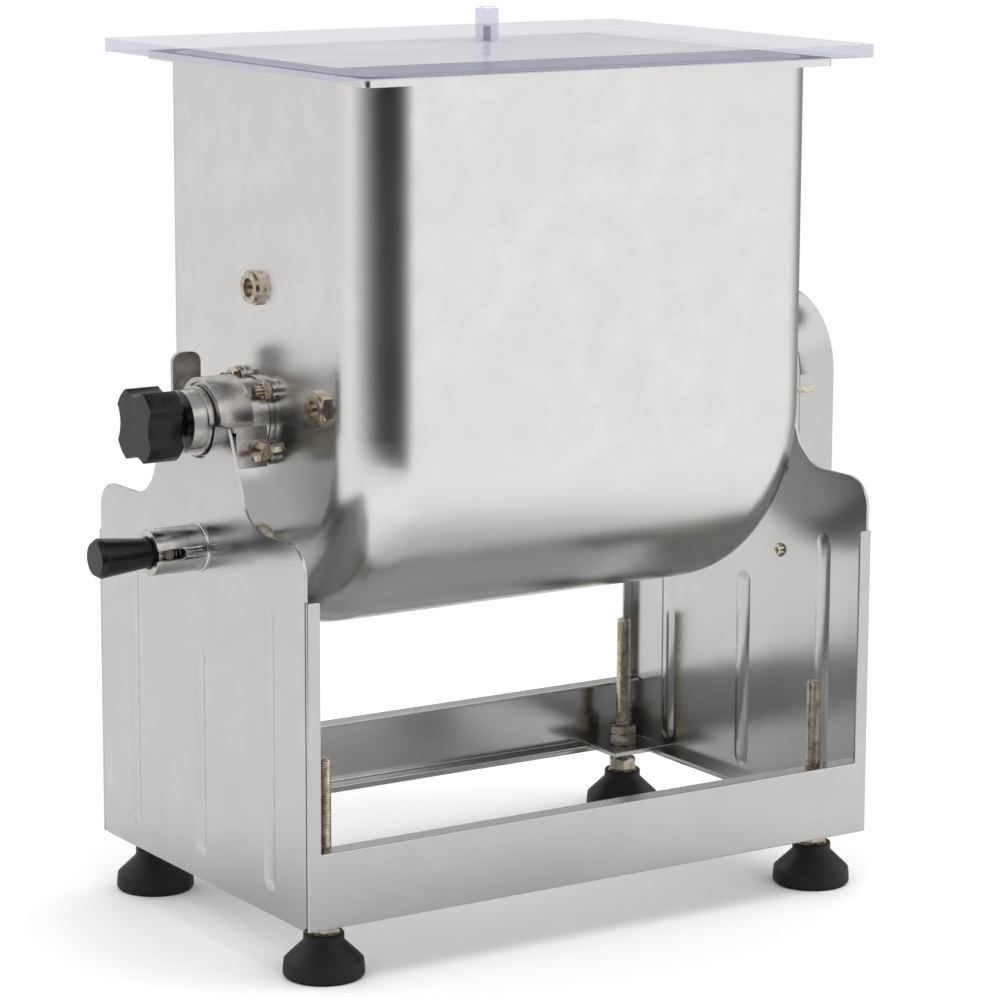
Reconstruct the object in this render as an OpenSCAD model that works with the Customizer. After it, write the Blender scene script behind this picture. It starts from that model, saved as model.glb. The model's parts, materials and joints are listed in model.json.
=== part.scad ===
// Tilting-tank meat mixer on a sheet-metal stand.
// X runs along the tilt axis from the lock side to the drive side, -Y is the front, +Z is up.
// The origin lies on the floor, under the middle of the whole machine.

/* [Tank] */
// Length of the tank over its end walls
tank_l = 327; // [260:1:420]
// Depth of the tank over its front and back walls
tank_d = 260; // [200:1:300]
// Height of the tank's rim above the tilt axis
tank_top = 210; // [160:1:260]
// Rounding of the tank's upright corners and bottom edges
tank_edge_r = 37; // [15:1:50]
// Wall of the tank
tank_wall = 1.5; // [1:0.1:3]
// Height of the welded rim
rim_h = 5; // [3:0.5:10]
// Reach of the rim beyond the tank walls
rim_reach = 2.5; // [1:0.5:8]

/* [Lid] */
// Reach of the lid beyond the tank ends
lid_reach_x = 27; // [5:1:35]
// Reach of the lid beyond the front and back walls
lid_reach_y = 11.5; // [3:0.5:20]
// Thickness of the lid
lid_t = 8; // [4:0.5:12]
// Width of the lid's knob across its flats
lid_knob_w = 14; // [10:0.5:24]
// Height of the lid's knob
lid_knob_h = 21; // [15:1:40]
// Section of the locating strips under the lid
locator_w = 8; // [5:0.5:12]
// Distance of the locating strips from the tank walls
locator_gap = 10; // [4:0.5:20]
// Length of the locating strips
locator_l = 280; // [150:1:300]

/* [Stand] */
// Depth of the stand over its front and rear frames
stand_d = 261; // [220:1:340]
// Room between each tank end and the side panel
side_room = 39.5; // [36:0.5:60]
// Sheet thickness of the stand
sheet = 2; // [1.5:0.1:3]
// Height of the stand's bottom edge above the floor
stand_z = 35.5; // [34:0.5:45]
// Height of the tilt axis above the stand's bottom edge
axis_h = 284; // [270:1:340]
// Height of the front rail
rail_h = 46; // [30:1:80]
// Height of the rear rail
rear_rail_h = 50; // [30:1:80]
// Depth of the rails' and panels' inward lips
lip_w = 11; // [6:1:16]
// Height of the lower lips and the gussets above the stand's bottom edge
base_lift = 6; // [2:0.5:8]
// Width of the frames' upright strips
strip_w = 9; // [6:0.5:16]
// Height of the upright strips
strip_h = 196; // [150:1:220]
// Seam between the side panels and the frames
seam = 0.6; // [0.3:0.1:1.5]
// Height of the side panels' shoulders
shoulder_h = 228; // [215:1:245]
// Rounding of the shoulders
shoulder_r = 18; // [6:1:30]
// Half width of the tower at its top
tower_top = 39; // [34:0.5:46]
// Half width of the tower at shoulder height
tower_foot = 62; // [50:1:80]
// Rounding between the shoulders and the tower
tower_blend_r = 28; // [10:1:40]
// Width of the pressed ribs
rib_w = 14; // [8:0.5:20]
// Depth of the pressed ribs
rib_depth = 1.4; // [0.8:0.1:2]
// Distance of the outer ribs from the middle one
rib_pitch = 85; // [60:1:95]
// Height of the ribs' lower ends
rib_low = 15; // [8:1:30]
// Height of the outer ribs' upper ends
rib_high = 186; // [150:1:200]
// Height of the middle rib's upper end
rib_mid_high = 147; // [100:1:150]

/* [Feet] */
// Distance of the studs from the stand's corner faces
stud_inset = 24; // [20:0.5:35]
// Radius of the levelling studs
stud_r = 5; // [4:0.5:6]
// Height of the stud tips above the stand's bottom edge
stud_top = 97; // [60:1:110]
// Radius of the foot pads
pad_r = 24.5; // [18:0.5:30]
// Height of the foot pads
pad_h = 27; // [20:0.5:28]
// Legs of the corner gussets
gusset_leg = 42; // [36:1:60]
// Thickness of the corner gussets
gusset_t = 3; // [2:0.5:5]

/* [Hubs] */
// Outer radius of the hub tubes
hub_r = 22.5; // [18.5:0.25:30]
// Inner radius of the hub tubes
hub_bore_r = 17; // [15.5:0.5:17.5]
// Reach of the hub flanges beyond the tubes
hub_flange_reach = 1.5; // [1:0.5:4]
// Radius of the flanges' round ears
hub_ear_r = 6.5; // [6:0.25:8]
// Thickness of the hub flanges
hub_flange_t = 4; // [3:0.5:6]
// Distance of the hub bolts from the tubes
hub_bolt_gap = 5.2; // [5.1:0.1:8]
// Thickness of the hub strap and cradle
strap_t = 3; // [2:0.5:4]
// Width of the strap and cradle along the axis
strap_w = 23; // [16:1:25]
// Height of the cradle's rear tab above the axis
tab_top = 36; // [30:1:45]
// Gap between the strap and the rear tab
tab_gap = 6.8; // [4:0.2:10]
// Width of the rear tab
tab_w = 19; // [14:1:22]

/* [Mixer] */
// Radius of the mixing shaft
shaft_r = 10; // [8:0.5:12]
// Reach of the paddles from the shaft's axis
paddle_reach = 115; // [80:1:118]
// Number of paddles
paddle_count = 6; // [3:1:8]
// Height of a paddle blade
blade_h = 40; // [25:1:50]
// Width of a paddle blade
blade_w = 45; // [25:1:50]
// Thickness of a paddle blade
blade_t = 3; // [2:0.5:5]
// Turn from one paddle to the next
paddle_step = 150; // [30:5:180]
// Twist of the blades about their arms
blade_angle = 35; // [0:1:60]
// Radius of the paddle arms
arm_r = 5; // [3:0.5:6]

/* [Drive] */
// Module of the gears
gear_module = 2; // [1.5:0.05:2.5]
// Teeth of the output gear
gear_teeth = 40; // [30:1:40]
// Teeth of the pinion
pinion_teeth = 14; // [12:1:20]
// Width of the gears
gear_w = 12; // [8:1:12]
// Room between the output gear's teeth and the cover
gear_room = 6.5; // [2:0.5:12]
// Room between the pinion's teeth and the cover's bottom
pinion_room = 62; // [40:1:80]
// Depth of the gear housing along the axis
housing_w = 31; // [30:1:40]
// Wall of the gear cover
cover_wall = 1.5; // [1:0.1:2.5]
// Radius of the drive socket's bore
drive_bore_r = 8; // [6:0.5:9]
// Reach of the drive socket beyond the cover
drive_reach = 10; // [5:1:20]

/* [Tank lock] */
// Radius of the lock sockets' circle
lock_circle_r = 77; // [70:1:90]
// Angle of the front socket above the level
front_socket_angle = 10; // [0:1:20]
// Width of the sockets across their flats
socket_af = 20; // [16:0.5:26]
// Length of the sockets
socket_l = 5.5; // [4:0.5:7]
// Radius of the lock pin
lock_pin_r = 5; // [4:0.5:6]
// Travel of the lock pin
lock_travel = 8; // [6:0.5:10]
// Outer radius of the lock tube
lock_tube_r = 14; // [12:0.5:18]
// Length of the lock tube
lock_tube_l = 34; // [30:1:45]
// Length of the lock handle
lock_handle_l = 38; // [28:1:50]

/* [Star knob] */
// Radius of the star knob over its lobes
knob_r = 23.5; // [20:0.5:32]
// Depth of the hollows between the lobes
knob_hollow = 5.8; // [2:0.2:8]
// Rounding of the hollows
knob_hollow_r = 19; // [10:0.5:24]
// Thickness of the star knob
knob_t = 22; // [15:1:28]
// Number of lobes
knob_lobes = 4; // [3:1:8]

/* [Fits] */
// Gap between pieces that turn past each other without touching
loose_gap = 0.3; // [0.2:0.05:0.6]
// Radial clearance of running fits
run_fit = 0.05; // [0.02:0.01:0.1]

/* [Hidden] */
$fn = 96;

// How far a cutting shape runs past the piece it cuts, and a joined one into its neighbour
cut = 1;
fuse = 1;

// Overall places worked out from the sizes above
tank_hx = tank_l / 2;
tank_hy = tank_d / 2;
panel_in = tank_hx + side_room;
panel_out = panel_in + sheet;
stand_hy = stand_d / 2;
panel_hy = stand_hy - sheet - seam;
axis_z = stand_z + axis_h;
rim_top = tank_top;
rail_in = stand_hy - sheet;
hub_recess = 2;
hub_end = panel_in - hub_recess;
hub_flange_r = hub_r + hub_flange_reach;
hub_bolt_circle_r = hub_r + hub_bolt_gap;
clamp_in = panel_in - strap_w;
strap_ri = hub_r + loose_gap;
strap_ro = strap_ri + strap_t;
lip_gap = 1;
lip_run = panel_in - gusset_leg - lip_gap;
side_lip_run = rail_in - gusset_leg - lip_gap;
stud_x = panel_out - stud_inset;
stud_y = stand_hy - stud_inset;
gusset_z = stand_z + base_lift;

// Nuts and studs of the feet
nut_h = 8;
nut_af = 17;
stud_sink = 12;

// Clamp feet in front of the hub, and the wing screw through them
clamp_foot_reach = 12.2;
clamp_foot_y = strap_ro + clamp_foot_reach;
clamp_foot_lift = 1.8;
clamp_foot_h = strap_ro - clamp_foot_lift;
clamp_step_z = 2;
tab_y = strap_ro + tab_gap;
tongue_w = 12;
tongue_proud = 3;
wing_inset = 4.5;
wing_drop = 13.5;
wing_r = 3;
wing_reach = 11;
wing_rise = 5;
wing_turn = -17;
washer_r = 6.5;
washer_t = 1.2;

// Hub bolts and the stud on the tank's drive end
bolt_r = 3;
bolt_turn = 50;
bolt_proud = 5;
bolt_head_h = 3;
bolt_nut_h = 5;
bolt_nut_af = 10;
rest_stud_r = 2.2;
rest_stud_l = 34.5;
rest_stud_angle = -3;

// Plug and knob
plug_flange_t = 6;
plug_flange_r = hub_r - 1.5;
plug_boss_t = 9;
plug_boss_r = plug_flange_r - 2;
plug_gap = 1;
plug_in = tank_hx + hub_flange_t + plug_gap;
plug_out = hub_end + loose_gap + plug_flange_t + plug_boss_t;
knob_collar_t = 8;
knob_collar_r = 10;
knob_in = plug_out + loose_gap;
knob_stud_r = 4;
knob_stud_gap = 5;
shaft_left_end = hub_end - 3;
bush_wall = 3;

// Lock
lock_guide_t = 3;
lock_stem_l = 10;
lock_tube_wall = 4.2;
lock_bore_r = lock_tube_r - lock_tube_wall;
lock_stem_r = lock_bore_r - loose_gap;
lock_tube_end = panel_out + lock_tube_l;
stem_sink = 3;
stem_out = lock_tube_end - stem_sink;
stem_in = stem_out - lock_stem_l;
handle_out = stem_out + lock_handle_l;
handle_small_r = lock_bore_r - 1.3;
handle_big_r = handle_small_r + 3.6;
cross_pin_r = 2.7;
cross_pin_x = stem_out - lock_stem_l / 2;
socket_floor = 1;
socket_collar_l = 2;
socket_collar_r = 0.47 * socket_af;
socket_bore_r = lock_pin_r + 0.8;
lock_tip = tank_hx + socket_floor + loose_gap + lock_travel;
spring_wire = 1.2;
spring_turns = 6;

// Gear train
pitch_big = gear_module * gear_teeth / 2;
pitch_small = gear_module * pinion_teeth / 2;
gear_distance = pitch_big + pitch_small;
housing_r = pitch_big + gear_module + gear_room + cover_wall;
housing_drop = gear_distance + pitch_small + gear_module + pinion_room;
pressure_angle = 20;
backlash = 0.3;
plate_t = 3;
plate_out = panel_out + plate_t;
gear_gap = 3;
gear_x = plate_out + gear_gap;
cover_out = panel_out + housing_w;
socket_x = cover_out + drive_reach;
bearing_wall = 4.5;
bearing_l = 12;
trunnion_bush_r = hub_r + run_fit;
trunnion_bush_ro = hub_r + bearing_wall;
trunnion_bush_l = 11;
trunnion_end = plate_out - 1;
seal_reach = 5;
bush_l = 8;
bush_proud = 2;
gear_shaft_r = 14;
gear_shaft_in = tank_hx + 14.5;
square_af = 12;
square_l = 15;
square_room = 1;
out_journal_r = 10;
input_journal_r = 6;
input_sleeve_r = drive_bore_r + 5;
shaft_step = 2;
sleeve_gap = 0.5;
sleeve_x = gear_x + gear_w + sleeve_gap;
drive_bore_depth = 20;
screw_r = 2.5;
screw_head_h = 2.4;
screw_grip = 9;
screw_room = 1;
pillar_r = 5;
pillar_y = housing_r - 11;
pillar_drops = [gear_distance + 8, housing_drop - 16];

// The machine's middle, so that the origin lies under it
x_middle = (handle_out - socket_x) / 2;

SIDES = [-1, 1];
// Angles of the lock sockets about the tilt axis, from +Y towards +Z
SOCKETS = [-90, 180 - front_socket_angle, 90];

STEEL = "silver";
DARK = "#262628";
ZINC = "#b8b09a";
BRASS = "goldenrod";
CLEAR = "lightsteelblue";
CLEAR_ALPHA = 0.5;

// ---------- shared shapes ----------

// Puts a piece drawn about the middle of the stand into the machine's frame
module in_frame() {
    translate([x_middle, 0, 0]) children();
}

// Puts a piece drawn about the tilt axis into the machine's frame
module on_axis() {
    translate([x_middle, 0, axis_z]) children();
}

// A rod along X between two places
module rod_x(r, x0, x1) {
    translate([x0, 0, 0]) rotate([0, 90, 0]) cylinder(r = r, h = x1 - x0);
}

// A ring along X between two places
module ring_x(ro, ri, x0, x1) {
    difference() {
        rod_x(ro, x0, x1);
        rod_x(ri, x0 - cut, x1 + cut);
    }
}

// A rectangle with round corners, centred
module round_rect(hx, hy, r) {
    square([2 * (hx - r), 2 * hy], center = true);
    square([2 * hx, 2 * (hy - r)], center = true);
    for (sx = SIDES, sy = SIDES) {
        translate([sx * (hx - r), sy * (hy - r)]) circle(r);
    }
}

// A hexagonal bar with chamfered ends, standing on Z = 0
module hex_bar(af, h, chamfer) {
    corner_r = af / sqrt(3);
    chamfer_h = 0.6 * chamfer;
    intersection() {
        cylinder(r = corner_r, h = h, $fn = 6);
        union() {
            cylinder(r1 = corner_r - chamfer, r2 = corner_r, h = chamfer_h);
            translate([0, 0, chamfer_h]) cylinder(r = corner_r, h = h - 2 * chamfer_h);
            translate([0, 0, h - chamfer_h])
                cylinder(r1 = corner_r, r2 = corner_r - chamfer, h = chamfer_h);
        }
    }
}

// A hexagonal nut with a round hole, standing on Z = 0
module nut(af, h, hole_r) {
    difference() {
        hex_bar(af, h, 1);
        translate([0, 0, -cut]) cylinder(r = hole_r, h = h + 2 * cut);
    }
}

// A pan-head screw with a cross recess: head above Z = 0, shank below
module pan_screw(r, head_h, shank) {
    head_r = 1.9 * r;
    top_r = 0.75 * head_r;
    slot_l = 1.7 * r;
    slot_w = 0.5 * r;
    translate([0, 0, -shank]) cylinder(r = r, h = shank);
    difference() {
        cylinder(r1 = head_r, r2 = top_r, h = head_h);
        for (a = [0, 90]) {
            rotate([0, 0, a]) translate([0, 0, head_h])
                cube([slot_l, slot_w, head_h], center = true);
        }
    }
}

// ---------- stand ----------

// The solid corner between a level line and a slanted one, with its round cut out
module tower_blend() {
    slope = atan2(axis_h - shoulder_h, tower_foot - tower_top);
    reach = tower_blend_r / tan((180 - slope) / 2);
    difference() {
        polygon([
            [tower_foot, shoulder_h],
            [tower_foot + reach, shoulder_h],
            [tower_foot + reach, shoulder_h + tower_blend_r],
            [tower_foot - reach * cos(slope), shoulder_h + reach * sin(slope)]
        ]);
        translate([tower_foot + reach, shoulder_h + tower_blend_r]) circle(tower_blend_r);
    }
}

// Outline of a side panel: X is the depth, Y the height above the bottom edge
module panel_outline(saddle_r) {
    corner_r = 5;
    difference() {
        union() {
            translate([0, shoulder_h / 2]) square([2 * (panel_hy - shoulder_r), shoulder_h], center = true);
            for (s = SIDES) {
                translate([s * (panel_hy - shoulder_r), shoulder_h - shoulder_r]) circle(shoulder_r);
                translate([s * (panel_hy - corner_r), corner_r]) circle(corner_r);
            }
            translate([-panel_hy, corner_r]) square([2 * panel_hy, shoulder_h - shoulder_r - corner_r]);
            translate([-panel_hy + corner_r, 0]) square([2 * (panel_hy - corner_r), 2 * corner_r]);
            polygon([
                [-tower_foot, shoulder_h], [-tower_top, axis_h],
                [tower_top, axis_h], [tower_foot, shoulder_h]
            ]);
            tower_blend();
            mirror([1, 0]) tower_blend();
        }
        translate([0, axis_h]) circle(saddle_r);
    }
}

// A capsule standing between two heights
module capsule(r, z0, z1) {
    rotate_extrude() {
        intersection() {
            union() {
                translate([0, z0]) square([r, z1 - z0]);
                translate([0, z0]) circle(r);
                translate([0, z1]) circle(r);
            }
            translate([0, z0 - r]) square([r, z1 - z0 + 2 * r]);
        }
    }
}

// A side panel with its ribs, drawn for the drive side and turned round for the lock side.
// Each hole is its depth place, its height from the axis and its radius.
module side_panel(side, saddle_r, holes) {
    rib_r = (rib_w * rib_w / 4 + rib_depth * rib_depth) / (2 * rib_depth);
    ribs = [[-rib_pitch, rib_high], [0, rib_mid_high], [rib_pitch, rib_high]];
    end_in = rib_w / 2;
    in_frame() rotate([0, 0, side > 0 ? 0 : 180]) translate([0, 0, stand_z]) difference() {
        union() {
            slab_x(panel_in, panel_out) panel_outline(saddle_r);
            translate([panel_in - lip_w, -side_lip_run, base_lift])
                cube([lip_w + fuse, 2 * side_lip_run, sheet]);
            intersection() {
                translate([panel_in - 2 * rib_depth, -panel_hy, 0])
                    cube([2 * rib_depth + sheet / 2, 2 * panel_hy, shoulder_h]);
                for (rib = ribs) {
                    translate([panel_out + rib_r - rib_depth, rib[0], 0])
                        capsule(rib_r + sheet, rib_low + end_in, rib[1] - end_in);
                }
            }
        }
        for (rib = ribs) {
            translate([panel_out + rib_r - rib_depth, rib[0], 0])
                capsule(rib_r, rib_low + end_in, rib[1] - end_in);
        }
        for (hole = holes) {
            translate([0, hole[0], axis_h + hole[1]]) rod_x(hole[2], panel_in - cut, panel_out + cut);
        }
    }
}

module side_panel_left() {
    color(STEEL) side_panel(-1, strap_ri, [[0, -lock_circle_r, lock_pin_r + loose_gap]]);
}

module side_panel_right() {
    screws = [for (s = SIDES, drop = pillar_drops) [s * pillar_y, -drop, screw_r]];
    pinion = [[0, -gear_distance, input_journal_r + bush_wall]];
    color(STEEL) side_panel(1, trunnion_bush_ro, concat(screws, pinion));
}

// A frame: a rail and two upright strips cut from one sheet, with lips along its top and bottom
module frame_sheet(rail_h) {
    top_run = panel_in - lip_gap;
    in_frame() translate([0, 0, stand_z]) {
        difference() {
            translate([-panel_out, -stand_hy, 0]) cube([2 * panel_out, sheet, strip_h]);
            translate([-panel_out + strip_w, -stand_hy - cut, rail_h])
                cube([2 * (panel_out - strip_w), sheet + 2 * cut, strip_h]);
        }
        translate([-lip_run, -rail_in, base_lift]) cube([2 * lip_run, lip_w, sheet]);
        translate([-top_run, -rail_in, rail_h - sheet]) cube([2 * top_run, lip_w, sheet]);
    }
}

module front_frame() {
    color(STEEL) frame_sheet(rail_h);
}

module rear_frame() {
    color(STEEL) mirror([0, 1, 0]) frame_sheet(rear_rail_h);
}

// Draws its children mirrored across an axis where the sign is negative
module flip(sign, axis) {
    if (sign < 0) {
        mirror(axis) children();
    } else {
        children();
    }
}

// Draws its children at the four corners, facing outwards
module at_corners() {
    for (sx = SIDES, sy = SIDES) {
        in_frame() flip(sx, [1, 0, 0]) flip(sy, [0, 1, 0]) children();
    }
}

module corner_gussets() {
    color(STEEL) at_corners() translate([0, 0, gusset_z]) difference() {
        translate([panel_in - gusset_leg, rail_in - gusset_leg, 0])
            cube([gusset_leg, gusset_leg, gusset_t]);
        translate([stud_x, stud_y, -cut]) cylinder(r = stud_r + run_fit, h = gusset_t + 2 * cut);
    }
}

module weld_nuts() {
    color(ZINC) at_corners() translate([stud_x, stud_y, gusset_z + gusset_t])
        nut(nut_af, nut_h, stud_r + run_fit);
}

module jam_nuts() {
    jam_nut_h = 0.7 * nut_h;
    color(ZINC) at_corners() translate([stud_x, stud_y, gusset_z + gusset_t + nut_h])
        nut(nut_af, jam_nut_h, stud_r + run_fit);
}

// ---------- hub clamp ----------

// A half ring round the axis beside the left panel; up is 1 for the upper half
module half_ring(up, x_out, x_in) {
    intersection() {
        ring_x(strap_ro, strap_ri, -x_out, -x_in);
        translate([-x_out, -strap_ro, up > 0 ? 0 : -strap_ro])
            cube([x_out - x_in, 2 * strap_ro, strap_ro]);
    }
}

module wing_place() {
    translate([-clamp_in - wing_inset, -clamp_foot_y, -wing_drop]) children();
}

// The lower half of the clamp, with its front foot and the tab behind the hub
module hub_cradle() {
    foot_top = -clamp_step_z - strap_t - loose_gap;
    tab_round = tab_w / 3;
    link_y = strap_ro / 2;
    color(STEEL) on_axis() difference() {
        union() {
            half_ring(-1, panel_in, clamp_in);
            translate([-panel_in, -clamp_foot_y, foot_top - strap_t])
                cube([strap_w, clamp_foot_y - strap_ri, strap_t]);
            translate([-panel_in, -clamp_foot_y, -clamp_foot_h])
                cube([strap_w, strap_t, clamp_foot_h + foot_top]);
            translate([-panel_in, link_y, -clamp_foot_h])
                cube([tab_w, tab_y + strap_t - link_y, strap_t]);
            translate([-panel_in, tab_y, -clamp_foot_h])
                cube([tab_w, strap_t, clamp_foot_h + tab_top - tab_round]);
            translate([-panel_in, tab_y, tab_top - tab_round]) tab_end(tab_round);
        }
        translate([-panel_in + (tab_w - tongue_w) / 2 - loose_gap, tab_y - cut, -loose_gap])
            cube([tongue_w + 2 * loose_gap, strap_t + 2 * cut, strap_t + 2 * loose_gap]);
        translate([-panel_in - cut, -strap_ro - cut, -clamp_step_z - loose_gap])
            cube([strap_w + 2 * cut, strap_t + 2 * cut, strap_ro]);
        rod_x(strap_ri, -panel_in - cut, -clamp_in + cut);
        wing_place() rotate([-90, 0, 0]) translate([0, 0, -cut])
            cylinder(r = wing_r + run_fit, h = strap_t + 2 * cut);
    }
}

// The rounded top of the rear tab
module tab_end(r) {
    translate([0, strap_t, 0]) rotate([90, 0, 0]) linear_extrude(strap_t) {
        translate([r, 0]) circle(r);
        translate([tab_w - r, 0]) circle(r);
        translate([r, -r]) square([tab_w - 2 * r, 2 * r]);
    }
}

// The upper half of the clamp: hooked into the tab behind, screwed to the cradle in front
module hub_strap() {
    x_out = panel_in - loose_gap;
    front_y = clamp_foot_y + strap_t + loose_gap;
    foot_in = 2;
    color(STEEL) on_axis() difference() {
        union() {
            half_ring(1, x_out, clamp_in);
            translate([-x_out, -front_y, -clamp_step_z])
                cube([x_out - clamp_in, front_y - strap_ri, strap_t]);
            translate([-x_out + foot_in, -front_y, -clamp_foot_h])
                cube([x_out - clamp_in - foot_in, strap_t, clamp_foot_h]);
            translate([-panel_in + (tab_w - tongue_w) / 2, strap_ri + loose_gap, 0])
                cube([tongue_w, tab_y + strap_t + tongue_proud - strap_ri, strap_t]);
        }
        rod_x(strap_ri, -panel_in - cut, -clamp_in + cut);
        wing_place() rotate([90, 0, 0]) cylinder(r = wing_r + run_fit, h = 2 * strap_t);
    }
}

module strap_washer() {
    color(ZINC) on_axis() wing_place() translate([0, -strap_t - loose_gap, 0]) rotate([90, 0, 0])
        difference() {
            cylinder(r = washer_r, h = washer_t);
            translate([0, 0, -cut]) cylinder(r = wing_r + run_fit, h = washer_t + 2 * cut);
        }
}

// One wing of the wing screw, from the hub out along +X and splayed up along +Z
module wing() {
    wing_t = 3.4;
    root_r = 2.6;
    tip_r = 3.6;
    rotate([90, 0, 0]) linear_extrude(wing_t, center = true) hull() {
        translate([root_r, root_r]) circle(root_r);
        translate([wing_reach - tip_r, root_r + wing_rise]) circle(tip_r);
    }
}

module wing_screw() {
    shank_in = 6;
    head_h = 7;
    head_foot_r = 5.5;
    head_top_r = 4.5;
    head_y = strap_t + washer_t + 2 * loose_gap;
    color(ZINC) on_axis() wing_place() {
        translate([0, shank_in, 0]) rotate([90, 0, 0])
            cylinder(r = wing_r, h = shank_in + head_y + fuse);
        translate([0, -head_y, 0]) rotate([90, wing_turn, 0]) {
            cylinder(r1 = head_foot_r, r2 = head_top_r, h = head_h);
            wing();
            rotate([0, 0, 180]) wing();
        }
    }
}

// ---------- tank lock ----------

module lock_line() {
    on_axis() translate([0, 0, -lock_circle_r]) children();
}

// A slot through the tube for the cross pin, open at the tube's outer end
module lock_slot() {
    slot_r = cross_pin_r + loose_gap;
    inner_x = lock_travel - cross_pin_x;
    rotate([90, 0, 0]) linear_extrude(2 * (lock_tube_r + cut), center = true) {
        translate([inner_x, 0]) circle(slot_r);
        translate([-lock_tube_end - cut, -slot_r]) square([lock_tube_end + cut + inner_x, 2 * slot_r]);
    }
}

module lock_tube() {
    color(STEEL) lock_line() difference() {
        ring_x(lock_tube_r, lock_bore_r, -lock_tube_end, -panel_out);
        lock_slot();
    }
}

module lock_guide() {
    color(BRASS) lock_line()
        ring_x(lock_bore_r, lock_pin_r + run_fit, -panel_out - lock_guide_t, -panel_out);
}

// Rings stand for the coils, joined by a thin bar so that the spring is one piece
module lock_spring() {
    x0 = -stem_in;
    length = stem_in - panel_out - lock_guide_t;
    coil_gap = 1;
    coil_r = lock_bore_r - spring_wire - coil_gap;
    bar_h = 0.8 * spring_wire;
    pitch = (length - spring_wire) / spring_turns;
    color("dimgray") lock_line() {
        for (i = [0 : spring_turns]) {
            translate([x0 + i * pitch, 0, 0]) ring_x(coil_r + spring_wire, coil_r, 0, spring_wire);
        }
        translate([x0, coil_r, -spring_wire / 2]) cube([length, bar_h, spring_wire]);
    }
}

module lock_pin() {
    chamfer = 1;
    color(STEEL) lock_line() difference() {
        union() {
            rod_x(lock_pin_r, -stem_in, -lock_tip - chamfer);
            translate([-lock_tip - chamfer, 0, 0]) rotate([0, 90, 0])
                cylinder(r1 = lock_pin_r, r2 = lock_pin_r - chamfer, h = chamfer);
            rod_x(lock_stem_r, -stem_out, -stem_in);
        }
        translate([-cross_pin_x, 0, 0]) rotate([90, 0, 0])
            cylinder(r = cross_pin_r, h = 2 * lock_tube_r, center = true);
    }
}

module lock_cross_pin() {
    sink = 1;
    color(ZINC) lock_line() translate([-cross_pin_x, 0, 0]) rotate([90, 0, 0])
        cylinder(r = cross_pin_r, h = 2 * (lock_tube_r - sink), center = true);
}

// Narrow enough at its foot to follow the pin into the tube, and chamfered at its thick end
module lock_handle() {
    tip = 3;
    tip_r = handle_big_r - 2;
    color(DARK) lock_line() translate([-stem_out, 0, 0]) rotate([0, -90, 0]) rotate_extrude() polygon([
        [0, 0], [handle_small_r, 0], [handle_big_r, lock_handle_l - tip],
        [tip_r, lock_handle_l], [0, lock_handle_l]
    ]);
}

// ---------- gear housing ----------

// Outline of the housing about the axis: X is the depth, Y the height
module housing_outline(r, drop) {
    circle(r);
    translate([-r, -drop]) square([2 * r, drop]);
}

// An outline pushed along X between two places
module slab_x(x0, x1) {
    translate([x0, 0, 0]) rotate([90, 0, 90]) linear_extrude(x1 - x0) children();
}

// Draws its children on the axis of each pillar inside the housing
module at_pillars() {
    for (s = SIDES, drop = pillar_drops) {
        translate([0, s * pillar_y, -drop]) children();
    }
}

module gear_back_plate() {
    color(STEEL) on_axis() difference() {
        slab_x(panel_out, plate_out) housing_outline(housing_r, housing_drop);
        rod_x(trunnion_bush_ro, panel_out - cut, plate_out + cut);
        translate([0, 0, -gear_distance])
            rod_x(input_journal_r + bush_wall, panel_out - cut, plate_out + cut);
        at_pillars() rod_x(screw_r, panel_out - cut, plate_out + cut);
    }
}

module gear_plate_screws() {
    color(ZINC) on_axis() at_pillars() translate([panel_in, 0, 0]) rotate([0, -90, 0])
        pan_screw(screw_r, screw_head_h, sheet + plate_t + screw_grip);
}

module gear_pillars() {
    color(ZINC) on_axis() at_pillars() difference() {
        rod_x(pillar_r, plate_out, cover_out - cover_wall);
        rod_x(screw_r, plate_out - cut, plate_out + screw_grip + screw_room);
        rod_x(screw_r, cover_out - screw_grip - screw_room, cover_out);
    }
}

module gear_cover() {
    color(STEEL) on_axis() difference() {
        slab_x(plate_out, cover_out) housing_outline(housing_r, housing_drop);
        slab_x(plate_out - cut, cover_out - cover_wall)
            housing_outline(housing_r - cover_wall, housing_drop - cover_wall);
        translate([0, 0, -gear_distance])
            rod_x(input_sleeve_r + bush_wall, cover_out - 2 * cover_wall, cover_out + cut);
        at_pillars() rod_x(screw_r, cover_out - 2 * cover_wall, cover_out + cut);
    }
}

module cover_screws() {
    color(ZINC) on_axis() at_pillars() translate([cover_out, 0, 0]) rotate([0, 90, 0])
        pan_screw(screw_r, screw_head_h, screw_grip);
}

module trunnion_bearing() {
    color(BRASS) on_axis() ring_x(trunnion_bush_ro, trunnion_bush_r, panel_in - bearing_l, plate_out);
}

module output_bush() {
    bush_out = cover_out - cover_wall;
    color(BRASS) on_axis()
        ring_x(out_journal_r + bush_wall, out_journal_r + run_fit, bush_out - bush_l, bush_out);
}

module input_line() {
    on_axis() translate([0, 0, -gear_distance]) children();
}

module input_bush_inner() {
    color(BRASS) input_line()
        ring_x(input_journal_r + bush_wall, input_journal_r + run_fit, panel_in, plate_out + bush_proud);
}

module input_bush_outer() {
    color(BRASS) input_line()
        ring_x(input_sleeve_r + bush_wall, input_sleeve_r + run_fit,
            cover_out + bush_proud - bush_l, cover_out + bush_proud);
}

function involute(a) = tan(a) * 180 / PI - a;

// Half the angle of a tooth at radius r
function tooth_half(r, z) =
    let (base = gear_module * z / 2 * cos(pressure_angle))
    90 / z - backlash / (gear_module * z) * 90 / PI + involute(pressure_angle)
        - involute(acos(min(1, base / max(r, base))));

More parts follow.
